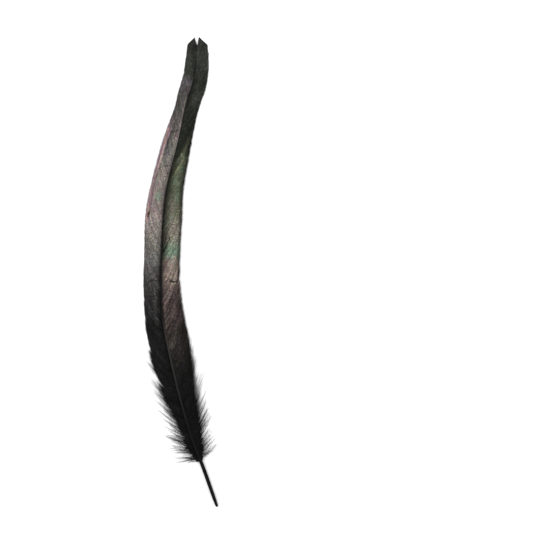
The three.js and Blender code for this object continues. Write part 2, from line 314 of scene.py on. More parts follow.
def tube_faces(lines, rings, points):
    """Quads round closed tubes whose vertices are by line, ring and place, and their two ends."""
    base = np.arange(lines)[:, None, None] * rings * points
    ring = np.arange(rings - 1)[None, :, None] * points
    here = np.arange(points)[None, None, :]
    after = (here + 1) % points
    a, b = base + ring + here, base + ring + after
    quads = np.stack([a, b, b + points, a + points], -1).reshape(-1, 4)
    first, last = base[:, :, 0], base[:, :, 0] + (rings - 1) * points
    return quads, first + np.arange(points)[::-1], last + np.arange(points)


def add_object(name, data):
    thing = bpy.data.objects.new(name, data)
    bpy.context.scene.collection.objects.link(thing)
    return thing


def make_mesh(name, vertices, face_groups, smooth=True):
    """A mesh object from an array of vertices in millimetres and arrays of faces."""
    mesh = bpy.data.meshes.new(name)
    faces = [face for group in face_groups for face in group.tolist()]
    mesh.from_pydata((vertices * MM).tolist(), [], faces)
    mesh.validate()
    mesh.polygons.foreach_set("use_smooth", np.full(len(mesh.polygons), smooth))
    return add_object(name, mesh)


def crisp_lines(piece, stride):
    """Keeps the edges that run along a tube crisp, so that it is smooth only along its length."""
    edges = piece.data.edges
    ends = np.empty(len(edges) * 2, np.int32)
    edges.foreach_get("vertices", ends)
    apart = np.abs(ends[::2] - ends[1::2])
    sharp = piece.data.attributes.new("sharp_edge", "BOOLEAN", "EDGE")
    sharp.data.foreach_set("value", apart == stride)


def store(piece, name, values):
    """Keeps three numbers for each vertex, which the material reads by name."""
    attribute = piece.data.attributes.new(name, "FLOAT_VECTOR", "POINT")
    attribute.data.foreach_set("vector", values.astype(np.float32).ravel())


def lay_out(piece, corners):
    """Gives the piece a flat map, with a place for each face corner."""
    layer = piece.data.uv_layers.new(name="OFBake", do_init=False)
    layer.uv.foreach_set("vector", corners.astype(np.float32).ravel())


def tube_corners(u, v):
    """The place on a flat map of each face corner of closed tubes, from those by line, ring and
    place in the ring, where the last is the first one again."""
    table = np.stack(np.broadcast_arrays(u, v), -1)
    here, after = table[:, :, :-1], table[:, :, 1:]
    sides = np.stack([here[:, :-1], after[:, :-1], after[:, 1:], here[:, 1:]], 3)
    return sides, here[:, 0, ::-1], here[:, -1]


def vane_map(count, section):
    """The flat map of a vane: a strip for each barb, in columns, and the lower sides apart."""
    rows = -(-count // MAP_COLUMNS)
    line = np.arange(count)[:, None, None]
    ring = np.linspace(MAP_MARGIN, 1 - MAP_MARGIN, BARB_STEPS + 1)[None, :, None]
    place = np.array([*section, section[0]])[:, 0] + 0.5
    parts = tube_corners((line // rows + ring) / MAP_COLUMNS, (line % rows + place) / rows)
    upper, lower = parts[0][:, :, :UPPER_SIDES], parts[0][:, :, UPPER_SIDES:]
    for part in (upper, *parts[1:]):
        part[..., 1] *= UPPER_SHARE
    lower[..., 1] = lower[..., 1] * (1 - UPPER_SHARE) + UPPER_SHARE
    return [part.reshape(-1, part.shape[-2], 2) for part in parts]


def make_vane(name, vane, seed):
    count = int((SHAFT_LENGTH - VANE_FOOT) / BARB_PITCH)
    own = np.random.default_rng(seed)
    jitter = own.uniform(-BARB_JITTER, BARB_JITTER, count)
    root = (VANE_FOOT + (np.arange(count) + 0.5 + jitter) * BARB_PITCH)[:, None]
    point, along, across, edge = vane_lines(vane, root, seed)
    step = np.gradient(point, axis=0)
    ahead = unit(np.gradient(point, axis=1))
    apart = np.linalg.norm(np.cross(step, ahead), axis=-1)
    usual = np.median([np.roll(apart, k, 0) for k in NEIGHBOURS], axis=0)
    spacing = np.minimum(apart, usual * SPACING_EXCESS)
    spacing = np.clip(spacing, *SPACING_RANGE) * BARB_OVERLAP
    t = np.linspace(0, 1, BARB_STEPS + 1)[None, :]
    foot = frayed(root)
    tip = clamp((root - vane["reach"][-1][0]) / TIP_FADE)
    pointed = POINT_SHARE + FRAYED_POINT * foot
    narrow = clamp((t - (1 - POINT_SHARE) + FRAYED_POINT * foot) / pointed)
    sharpness = 1 - narrow * (POINT_LOSS + FRAYED_LOSS * foot - TIP_GAIN * tip)
    # The ribbon's width runs towards the tip on both sides, so that each barb laps over the next.
    section = [(s * vane["side"] * -1, r) for s, r in BARB_SECTION]
    shell = ribbons(point, spacing * sharpness, sharpness, section)
    points = len(section)
    faces = tube_faces(count, BARB_STEPS + 1, points)
    flat = vane_map(count, section)
    if vane["side"] > 0:
        faces, flat = ([f[:, ::-1] for f in group] for group in (faces, flat))
    piece = make_mesh(name, shell.reshape(-1, 3), faces)
    lay_out(piece, np.concatenate([f.reshape(-1, 2) for f in flat]))
    crisp_lines(piece, points)
    tone = OWN_TONE * own.uniform(-1, 1, (count, 1))
    for number, (share, reach) in enumerate(TONE_NOISE):
        tone = tone + share * smooth_noise(count, reach, seed + 5 + number)
    run = np.linalg.norm(np.diff(point, axis=1), axis=-1)
    run = np.cumsum(np.pad(run, ((0, 0), (1, 0))), 1)
    place = (along, vane["side"] * across, edge - across)
    for key, values in (("place", place), ("barb", (root, run, tone))):
        table = np.stack(np.broadcast_arrays(*values), -1)
        store(piece, key, np.repeat(table[:, :, None], points, 2))
    return piece


def make_shaft():
    rings = np.arange(2 * QUILL_DOME, SHAFT_LENGTH, RING_STEP)
    along = np.concatenate([DOME_RINGS, rings, [SHAFT_LENGTH]])
    point, _, left = shaft_at(along)
    dome = np.sqrt(clamp(1 - (1 - along / QUILL_DOME) ** 2))
    dome = np.where(along < QUILL_DOME, np.maximum(dome, DOME_END), 1)
    half_width, half_height = (through(SHAFT_SECTION, along, c) / 2 * dome for c in (1, 2))
    groove = clamp((along - VANE_FOOT / 2) / VANE_FOOT)
    upper = [(np.cos(a), np.sin(a), 0) for a in np.radians(np.arange(0, 181, 22.5))]
    other_half = [(-x, z, g) for x, z, g in reversed(UNDERSIDE[:-1])]
    section = np.array(upper + UNDERSIDE + other_half)
    rise = section[None, :, 1] + section[None, :, 2] * groove[:, None]
    ring = point[:, None] + left[:, None] * (section[None, :, :1] * half_width[:, None, None])
    ring[..., 2] += rise * half_height[:, None]
    points = len(section)
    faces = [f[:, ::-1] for f in tube_faces(1, len(along), points)]
    piece = make_mesh("shaft", ring.reshape(-1, 3), faces)
    # On its flat map the shaft is cut into rows, each a length of it with all its sides.
    length = -(-len(along) // SHAFT_MAP_ROWS)
    i, j = np.meshgrid(np.arange(len(along) - 1), np.arange(points), indexing="ij")
    u = (i % length)[..., None] + np.array([1, 1, 0, 0])
    v = (i // length)[..., None] + (j[..., None] + np.array([0, 1, 1, 0])) / points
    flat = np.stack([u / length, v / SHAFT_MAP_ROWS], -1).reshape(-1, 2)
    caps = np.zeros((points, 2)), np.tile(flat[-1], (points, 1))
    lay_out(piece, np.concatenate([flat, *caps]))
    place = np.broadcast_arrays(along[:, None], section[None, :, 0], rise)
    store(piece, "place", np.stack(place, -1))
    return piece


def hair_lines(vane, seed):
    """Centre lines of the down, and which hairs are in a lock, where they run together to its
    tip. Others stand alone or end short."""
    own = np.random.default_rng(seed)
    hairs = []

    def add(kind, count, root, out, lift, turn=1.0):
        spread, shortest, loose, in_lock = kind
        sway = own.normal(size=(1 if in_lock else count, 2))
        sway = sway + own.normal(size=(count, 2)) * OWN_SWAY
        parts = [
            root + own.uniform(-spread, spread, count),
            out * own.uniform(shortest, LONGEST, count),
            LOWEST_TIP + lift * own.uniform(*OWN_LIFT, count),
            turn + own.uniform(-loose, loose, count),
            *sway.T,
            np.full(count, in_lock),
        ]
        hairs.append(np.stack(parts))

    lock = FIRST_LOCK
    root = VANE_FOOT + LOCK_PITCH / 2
    while root < vane["down"][-1][0]:
        width = through(vane["down"], root) * (1 - DOWN_UNEVENNESS * ((lock * GOLDEN) % 1))
        number = lock if vane["side"] > 0 else lock + OTHER_SIDE
        lift = DOWN_HEIGHTS[number % len(DOWN_HEIGHTS)]
        middle = root + own.uniform(-LOCK_DRIFT, LOCK_DRIFT)
        add(LOCK, LOCK_HAIRS, middle, width, lift, own.uniform(*LOCK_TURN))
        add(LONE, LONE_HAIRS, root, width, lift)
        add(SHORT, SHORT_HAIRS, root, width * SHORT_REACH, lift * SHORT_LIFT)
        lock += 1
        root += LOCK_PITCH
    for root, out, count, turn in vane["tufts"]:
        for _ in range(2):
            add(TUFT_LOCK, count // 3, root + own.uniform(-1, 1), out, TUFT_LIFT, turn)
        add(TUFT_LONE, count // 4, root, out, TUFT_LIFT, turn)
    table = np.concatenate(hairs, 1)
    table[0] = np.maximum(table[0], VANE_FOOT)
    # Beside a notch in the vane's edge there is no down.
    crossing = table[0] + barb_ends(vane, table[0])[0] * table[3]
    bare = np.zeros(len(crossing), bool)
    for place, depth, _ in vane["notches"]:
        bare |= np.abs(crossing - place) < 2 * depth
    root, out, lift, turn, sway, ripple, in_lock = table[:, ~bare, None]
    reach, edge, edge_height = barb_ends(vane, root)
    t, across = steps_out(root, out, HAIR_START, HAIR_STEPS)
    along = barb_along(root, reach * turn, across / edge)
    turned = np.clip((root - TURN_FROM) / TURN_FADE, 0, TURN_MOST)
    along = along + np.maximum(across - edge, 0) * TURN_AHEAD * turned
    for (size, waves), share in ((SWAY, sway), (RIPPLE, ripple)):
        along = along + size * share * np.sin(np.pi * t * waves) * t
    along = along + split_shift(vane, root + reach, edge - across)
    point = beside_shaft(vane, along, across)
    top = vane_height(root)
    inner = clamp(across / edge)
    under = top + (edge_height - top) * inner * inner - BELOW_VANE * clamp(inner * 4)
    lift_from = edge * LIFT_FROM
    beyond = clamp((across - lift_from) / np.maximum(out - lift_from, 0.5))
    rise = beyond * beyond * (1 + LIFT_BEND - LIFT_BEND * beyond)
    point[..., 2] = np.maximum(under + (lift - under) * rise, HAIR_FLOOR)
    return point, in_lock[:, 0] > 0


def make_down(name, vane, seed):
    point, in_lock = hair_lines(vane, seed)
    lines, rings = point.shape[:2]
    own = np.random.default_rng(seed + 1)
    kinds = (HAIR_GIRTH, BARBULE_DENSITY, BARBULE_REACH)
    girth, density, reach = (np.where(in_lock, *pair) for pair in kinds)
    t = np.linspace(0, 1, rings)
    half = np.interp(t, *HAIR_THICKNESS)[None, :] / 2 * girth[:, None]
    section = [(np.cos(a), np.sin(a)) for a in np.radians([90, 210, 330])]
    shell = ribbons(point, half, half, section)
    quads, starts, ends = tube_faces(lines, rings, 3)
    vertices = [shell.reshape(-1, 3)]
    spikes = []
    # On the flat map each hair is a strip, and its barbules lie on it where they grow.
    strip = (np.arange(lines)[:, None, None] + np.arange(4) / 4) / lines
    flat = [part.reshape(-1, 2) for part in tube_corners(t[None, :, None], strip)]
    length = np.linalg.norm(np.diff(point, axis=1), axis=-1).sum(1)
    base = lines * rings * 3
    faces = np.array([[0, 2, 1], [0, 1, 3], [1, 2, 3], [2, 0, 3]])
    corner = faces.ravel()
    for line in range(lines):
        count = 2 * int(length[line] * BARBULE_SHARE / BARBULE_PITCH * density[line])
        at = np.sort(own.uniform(*BARBULE_PLACES, count))
        place = at * (rings - 1)
        i = np.clip(place.astype(int), 0, rings - 2)
        f = (place - i)[:, None]
        foot = point[line][i] * (1 - f) + point[line][i + 1] * f
        ahead = unit(point[line][i + 1] - point[line][i])
        out = unit(np.cross(ahead, [0, 0, 1.0]) * own.choice([-1, 1], count)[:, None])
        lean = np.radians(own.uniform(*BARBULE_LEAN, count))[:, None]
        size = own.uniform(*BARBULE_LENGTH, count) * np.interp(at, *BARBULE_TAPER)
        way = ahead * np.cos(lean) + out * np.sin(lean)
        way[:, 2] += own.uniform(-BARBULE_TILT, BARBULE_TILT, count)
        tip = foot + way * (size * reach[line])[:, None]
        tip[:, 2] = np.clip(tip[:, 2], *BARBULE_TIPS)
        wide = np.cross(way, [0, 0, 1.0])
        wide *= BARBULE_HALF / np.linalg.norm(wide, axis=1, keepdims=True)
        corners = [foot - wide, foot + wide, foot + [0, 0, BARBULE_HALF * 1.4], tip]
        vertices.append(np.stack(corners, 1).reshape(-1, 3))
        spikes.append((base + np.arange(count)[:, None, None] * 4 + faces).reshape(-1, 3))
        base += count * 4
        u = at[:, None] + np.array([0, 0, 0, 0.01])[corner]
        v = (line + np.array([0.2, 0.6, 0.4, 0.4])[corner] + np.zeros_like(u)) / lines
        flat.append(np.stack([u, v], -1).reshape(-1, 2))
    groups = [quads, starts, ends, np.concatenate(spikes)]
    piece = make_mesh(name, np.concatenate(vertices), groups, smooth=False)
    lay_out(piece, np.concatenate(flat))
    return piece


shaft = make_shaft()
left_vane = make_vane("left_vane", LEFT, 11)
right_vane = make_vane("right_vane", RIGHT, 23)
left_down = make_down("left_down", LEFT, 31)
right_down = make_down("right_down", RIGHT, 43)


# Materials.
class Nodes:
    """A short way to build a node tree: each call adds nodes and returns an output."""

    def __init__(self, name):
        self.material = bpy.data.materials.new(name)
        self.material.use_nodes = True
        self.tree = self.material.node_tree
        self.tree.nodes.clear()
        self.shader = self.tree.nodes.new("ShaderNodeBsdfPrincipled")
        output = self.tree.nodes.new("ShaderNodeOutputMaterial")
        self.tree.links.new(self.shader.outputs[0], output.inputs[0])

    def put(self, socket, value):
        if isinstance(value, bpy.types.NodeSocket):
            self.tree.links.new(value, socket)
        else:
            socket.default_value = value

    def set(self, name, value):
        self.put(self.shader.inputs[name], value)

    def node(self, kind, inputs, output=0, **settings):
        """A node of a kind, with its inputs by name or number and its settings by name."""
        node = self.tree.nodes.new("ShaderNode" + kind)
        for name, value in settings.items():
            setattr(node, name, value)
        for key, value in inputs.items():
            self.put(node.inputs[key], value)
        return node.outputs[output]

    def parts(self, vector):
        return self.node("SeparateXYZ", {0: vector}, slice(0, 3))

    def attribute(self, name):
        return self.parts(self.node("Attribute", {}, "Vector", attribute_name=name))

    def math(self, operation, *values, clamp=False):
        return self.node("Math", dict(enumerate(values)), operation=operation, use_clamp=clamp)

    def times(self, *factors):
        """The product of numbers."""
        product = factors[0]
        for factor in factors[1:]:
            product = self.math("MULTIPLY", product, factor)
        return product

    def fit(self, value, gain, offset):
        """value * gain + offset."""
        return self.math("MULTIPLY_ADD", value, gain, offset)

    def between(self, value, low, high, to_low=0.0, to_high=1.0):
        """Smooth step of value from low to high."""
        inputs = dict(enumerate((value, low, high, to_low, to_high)))
        return self.node("MapRange", inputs, interpolation_type="SMOOTHSTEP")

    def vector(self, x, y, z=0.0):
        return self.node("CombineXYZ", {0: x, 1: y, 2: z})

    def vector_math(self, operation, a, b=(0.0, 0.0, 0.0), output=0):
        return self.node("VectorMath", {0: a, 1: b}, output, operation=operation)

    def scaled(self, vector, factor):
        return self.node("VectorMath", {0: vector, "Scale": factor}, operation="SCALE")

    def noise(self, place, scale=1.0, detail=2.0, rough=0.5, output=0):
        inputs = {"Vector": place, "Scale": scale, "Detail": detail, "Roughness": rough}
        return self.node("TexNoise", inputs, output)

    def drift(self, amount, *noise):
        """Three numbers of noise at once, round 0."""
        noise = self.noise(*noise, output=1)
        return self.scaled(self.vector_math("SUBTRACT", noise, (0.5, 0.5, 0.5)), amount)

    def ramp(self, value, stops, low, high):
        """Colours by value, from rows of (place, colour), where low and high span the ramp."""
        node = self.tree.nodes.new("ShaderNodeValToRGB")
        share = self.math("DIVIDE", self.math("SUBTRACT", value, low), high - low, clamp=True)
        self.put(node.inputs[0], share)
        band = node.color_ramp
        while len(band.elements) < len(stops):
            band.elements.new(0.5)
        for element, (place, colour) in zip(band.elements, sorted(stops)):
            element.position = (place - low) / (high - low)
            element.color = colour
        return node.outputs[0]

    def level(self, value, stops):
        """A number by value, from numbers by place."""
        rows = [(place, (v, v, v, 1.0)) for place, v in stops.items()]
        return self.ramp(value, rows, min(stops), max(stops))

    def mix(self, share, a, b, kind="MIX"):
        return self.node("Mix", {0: share, 6: a, 7: b}, 2, data_type="RGBA", blend_type=kind)

    def bump(self, height, distance, strength):
        return self.node("Bump", {"Height": height, "Distance": distance, "Strength": strength})


def linear(hex_colour, scale=1.0):
    """A colour written as in a paint chart, turned to the renderer's linear light."""
    parts = [int(hex_colour[i : i + 2], 16) / 255 for i in (1, 3, 5)]
    light = [c / 12.92 if c <= 0.04045 else ((c + 0.055) / 1.055) ** 2.4 for c in parts]
    return (*[c * scale for c in light], 1.0)


# The tones hold the dyed feather's colour with the sheen of its gloss painted in. LIGHT is how
# much brighter the studio light shows them.
LIGHT = 1.24
TONES = {
    "night_olive": "#2b2d27", "olive_black": "#353731", "mauve_grey": "#544f53",
    "umber": "#4b4845", "stone": "#56524f", "taupe": "#7c7570", "rose_taupe": "#887d79",
    "green_grey": "#7b7d75", "slate": "#656361", "iron": "#484645", "charcoal": "#2b2a2a",
    "soot": "#151515", "black": "#0b0b0b", "deep_olive": "#252721", "olive": "#5f6452",
    "moss": "#6c6c5e", "sand": "#8a8778", "sea_green": "#758b77", "rosewood": "#8a7b73",
    "dusk": "#5e5250", "plum": "#463c3a", "brown": "#2c2825", "deep_brown": "#1c1b1a",
    "salmon": "#b6988d", "pale_pink": "#b9a19e", "dusty_pink": "#8f777e", "straw": "#a3a07a",
}


# A tone from the table, dye with painted sheen, in linear light and divided by LIGHT.
def dye_and_sheen(name):
    return linear(TONES[name], 1 / LIGHT)


# The tones by distance along the shaft, with the painted sheen in them.
TONES_END = 334
LEFT_TONES = {
    330: "night_olive", 319: "olive_black", 308: "olive_black", 303: "mauve_grey", 292: "umber",
    276: "stone", 262: "stone", 252: "slate", 240: "taupe", 226: "rose_taupe", 208: "rose_taupe",
    196: "taupe", 181: "slate", 167: "iron", 150: "charcoal", 134: "soot", 115: "soot",
    70: "black",
}
RIGHT_TONES = {
    270: "olive", 222: "olive", 209: "moss", 192: "sand", 184: "sea_green", 176: "rosewood",
    167: "rosewood", 157: "dusk", 147: "plum", 135: "plum", 126: "brown", 114: "brown",
    104: "deep_brown", 92: "soot", 74: "black",
}
# The tip half of the right vane, where it is turned from the light.
TURNED_TONES = {
    282: "deep_olive", 293: "olive_black", 304: "night_olive", 313: "olive_black",
    330: "olive_black",
}
# Soft patches: tone, middle and size, each along the shaft and out from it, and strength.
LEFT_PATCHES = [
    ("sea_green", (221.5, 4.2), (6, 3.6), 0.8), ("green_grey", (181, 5), (14, 6), 0.4),
    ("sea_green", (321, 1), (6, 4), 0.04), ("mauve_grey", (301, 4), (5, 5), 0.5),
]
RIGHT_PATCHES = [
    ("sea_green", (183.5, 8), (4.4, 6), 0.62), ("sea_green", (235, 5), (7, 2.5), 0.3),
    ("sea_green", (223, 8.5), (7, 2.5), 0.35), ("sea_green", (243, 7.5), (3, 2), 0.6),
    ("rosewood", (217, 5), (7, 4), 0.35), ("rose_taupe", (199, 8.5), (11, 5), 0.75),
]
TURNED_PATCHES = [
    ("sea_green", (321, 1), (6, 4), 0.05), ("sea_green", (291, 4.5), (7, 2), 0.06),
]
# Painted highlights: from and to, half-width, tone and strength. On the left they run along the
# fold at the edge, where it catches the light, and along the shaft, and on the right they follow
# barbs that catch the light.
LEFT_HIGHLIGHTS = [
    (205, 11.5, 216, 10.5, 0.8, "salmon", 0.9), (216, 10.5, 231, 9.9, 0.7, "pale_pink", 0.45),
    (231, 9.9, 241, 8.9, 0.7, "pale_pink", 0.5), (241, 8.9, 248, 8.3, 1.1, "pale_pink", 1),
    (248, 8.3, 256, 8.5, 1.1, "pale_pink", 1), (256, 8.5, 268, 8.6, 1, "salmon", 0.75),
    (255, 1.4, 267, 1, 1.3, "rose_taupe", 0.45), (268, 0.7, 290, 0.9, 0.8, "taupe", 0.45),
    (268, 3, 261, 3.2, 1.3, "taupe", 0.4), (189, 9.6, 181, 8.6, 1.5, "taupe", 0.3),
    (262.6, 1.6, 259.6, 3.4, 1.2, "rose_taupe", 0.5), (252, 2, 246.5, 3.4, 1.5, "sand", 0.35),
    (203, 8.6, 185, 4, 1, "rose_taupe", 0.35), (196, 9.4, 177, 4.6, 0.8, "rose_taupe", 0.3),
    (219, 7.2, 205, 3.2, 0.9, "pale_pink", 0.3), (186, 10.6, 160, 7.4, 0.6, "taupe", 0.35),
    (158, 4.6, 150, 3.6, 0.9, "slate", 0.35), (149, 5, 134, 4.2, 2, "iron", 0.35),
]
RIGHT_HIGHLIGHTS = [
    (268.5, 8.5, 254.5, 4.8, 0.5, "straw", 0.35), (254.6, 4, 251.6, 5, 0.55, "straw", 0.75),
    (251, 6.9, 239.5, 3.6, 0.55, "straw", 0.5), (244, 4.6, 235, 2.4, 0.45, "straw", 0.3),
    (213, 10.4, 199, 5.4, 0.5, "straw", 0.25), (206, 10.6, 192, 5.8, 0.5, "straw", 0.25),
    (180, 9.6, 170, 6.4, 0.6, "straw", 0.35), (175, 10, 166, 7, 0.6, "straw", 0.35),
    (148, 2.2, 130, 1.6, 0.9, "rosewood", 0.15), (181, 9, 170, 8.4, 2.2, "rose_taupe", 0.4),
    (161.7, 7.2, 161.2, 10.2, 0.6, "straw", 0.35),
]
# Dark marks: from and to (distance along the shaft, distance out), half-width and strength. The
# narrow ones are mostly fault bars, where the feather grew badly for a day, and one is a slit
# between two barbs with painted shadow in it. The broad, faint ones are painted shade, in creases
# and over dim parts of the vane.
LEFT_MARKS_AND_SHADE = [
    (326.5, 2.6, 317.5, 2.4, 2.1, 0.26), (296.4, 3, 293.6, 5.4, 1.7, 0.16),
    (297.6, 0.8, 296.8, 4.4, 0.4, 0.35), (296.8, 4.4, 298.2, 7, 0.4, 0.35),
    (243.4, 0.6, 242.2, 5.4, 0.45, 0.75), (242.2, 5.4, 239.6, 8, 0.5, 0.55),
    (252.4, 3.2, 251.2, 7.6, 0.4, 0.55), (267.9, 1.5, 266.6, 6.2, 0.45, 0.6),
    (259.8, 2, 259.4, 5, 0.35, 0.25), (163.8, 1.6, 163.6, 7.2, 0.45, 0.7),
    (163.6, 7.2, 160.6, 10.8, 0.5, 0.65), (172.6, 2.2, 172.2, 9, 0.4, 0.3),
    (153.4, 2, 152.4, 10, 0.45, 0.4), (207.4, 10.4, 210.2, 10, 1, 0.85),
    (210, 9.6, 222, 8.9, 0.5, 0.35), (222, 8.9, 237, 8.4, 0.5, 0.4),
    (250, 6.4, 258, 6.4, 0.8, 0.35), (258, 6.4, 266, 5.9, 1.1, 0.35),
    (281, 5.8, 289, 6.2, 1.6, 0.25), (211, 6.2, 218, 6, 2, 0.25), (209, 3, 236, 2.4, 1.6, 0.12),
    (189, 3.4, 181, 2.8, 1.5, 0.3), (191, 6.2, 180, 5.6, 1.5, 0.18),
]
RIGHT_MARKS_AND_SHADE = [
    (334.2, 0.4, 329, 6.6, 0.55, 0.3), (331.6, 1.2, 327.6, 6, 0.4, 0.3),
    (329.4, 1.4, 326.2, 5.2, 0.4, 0.22), (311, 6.6, 300, 6.2, 2.2, 0.2),
    (193.8, 5.4, 183.4, 1.3, 0.5, 0.85), (163.6, 6.2, 162.7, 8.4, 0.85, 0.85),
    (162.7, 8.4, 163.4, 11, 0.7, 0.7), (166.6, 11, 172.6, 12.4, 0.6, 0.75),
    (243.2, 7.4, 242.8, 10.4, 0.4, 0.5), (245.5, 7.5, 236, 7, 1.9, 0.3),
    (149.6, 5.2, 149.4, 6, 0.6, 0.5), (144.2, 4.4, 144, 5.2, 0.6, 0.4),
    (222, 4, 221.4, 9, 0.35, 0.25), (203, 5, 202.2, 11, 0.35, 0.25),
    (199, 3.4, 185, 1.8, 1.5, 0.3),
]
# Shades: from where to where out they deepen, and how deep they are by distance along the shaft.
LEFT_SHADE = (3.7, 0.3, {
    84: 0.35, 98: 0.6, 118: 0.58, 136: 0.64, 158: 0.7, 166: 0.82, 182: 0.82, 195: 0.48, 212: 0.45,
    246: 0.36, 254: 0, 292: 0, 300: 0.3, 306: 0.5, 326: 0.4,
})
RIGHT_SHADES = [
    (7.0, 0.3, {148: 0, 158: 0.3, 166: 0.55, 172: 0.6, 183: 0.92, 250: 0.9}),
    (2.6, 0.7, {126: 0, 136: 0.4, 148: 0.58, 166: 0.55, 172: 0.42, 182: 0.15, 204: 0.05}),
    (7.0, 13.0, {92: 0.3, 105: 0.5, 150: 0.55, 166: 0.3, 176: 0}),
]
TURNED_SHADE = (4.4, 0.3, {281: 0.1, 288: 0.6, 296: 0.72, 303: 0.45, 309: 0.15, 317: 0})
# The strip at the left vane's edge that is bent over and catches the light: where it sets in, by
# distance in from the edge and along the shaft, the strength of its painted pink sheen, how much
# smoother it is, and how much its creases take from the light, by distance in from the edge.
STRIP_INNER, STRIP_LOWER, STRIP_UPPER = (2.9, 2.1), (202, 208), (280, 262)
STRIP_PINK_SHEEN, STRIP_SMOOTH = 0.85, 0.55
STRIP_CREASES = {
    1.05: 0, 1.2: 0.4, 1.45: 0.4, 1.65: 0, 2.2: 0, 2.4: 0.3, 2.65: 0.3, 2.9: 0,
}
# The right vane is turned from the light above a line that climbs TURN_SLANT for each millimetre
# out. Next below, OUTER_LIGHT is what is left of the light, but for a streak that catches it.
TURN_SLANT, TURN_FRAY, TURN_LINE = 3.4, 1.2, (237.7, 242)
STREAK, STREAK_ALONG, STREAK_LIGHT = (233, 236.5), (248, 254), 0.62
OUTER_LIGHT = (250.5, 258.5, 1.0, 0.38)
EDGE_SHADE, EDGE_SHADE_ALONG, EDGE_DEPTH = (3.6, 0.3), (156, 176), 0.74

# Noise drawn out along the barbs: how fast it changes across them and along them.
LOCK_NOISE, STREAK_NOISE, BARB_NOISE = (0.16, 0.05), (0.5, 0.1), (0.9, 0.45)
SHEEN_NOISE, FLECK_NOISE = (1.5, 0.42), (0.22, 0.12)
# Round noise: how fast it changes.
BROAD_SPOTS, PLACE_SPOTS, FINE_SPOTS, BARBULES = 0.25, 0.7, 1.0, 5.0
BARS_ALONG, BARS_OUT = 1.1, 0.22
# How far noise moves places and tones and frays patches, and how much of soft forms is full.
PLACE_WOBBLE, TONE_DRIFT, PATCH_FRAY = 1.3, 1.5, 0.35
PATCH_CORE, STROKE_CORE = 0.2, 0.3
# Light and dark are powers of CONTRAST, from noise of several kinds. By distance along the shaft:
# how strong they are, and the streaks and the grain in them. Towards the foot there is less grain.
CONTRAST = 2.6
GRAIN, BARS, LOCKS, BARBS, STREAKS = 0.42, 0.24, 0.14, 0.22, 0.3
CONTRAST_ALONG = {110: 2, 150: 1.8, 178: 1.2, 245: 1.2, 270: 1.4, 298: 1.1}
STREAKS_ALONG = {135: 1.15, 175: 1}
GRAIN_ALONG = {135: 0.75, 175: 1}
# The side that faces down: the slope of the surface there, and its dull brown.
FACES_DOWN, DULL_BROWN, DULL_LIGHT = (0.02, -0.2), 0.6, 0.8


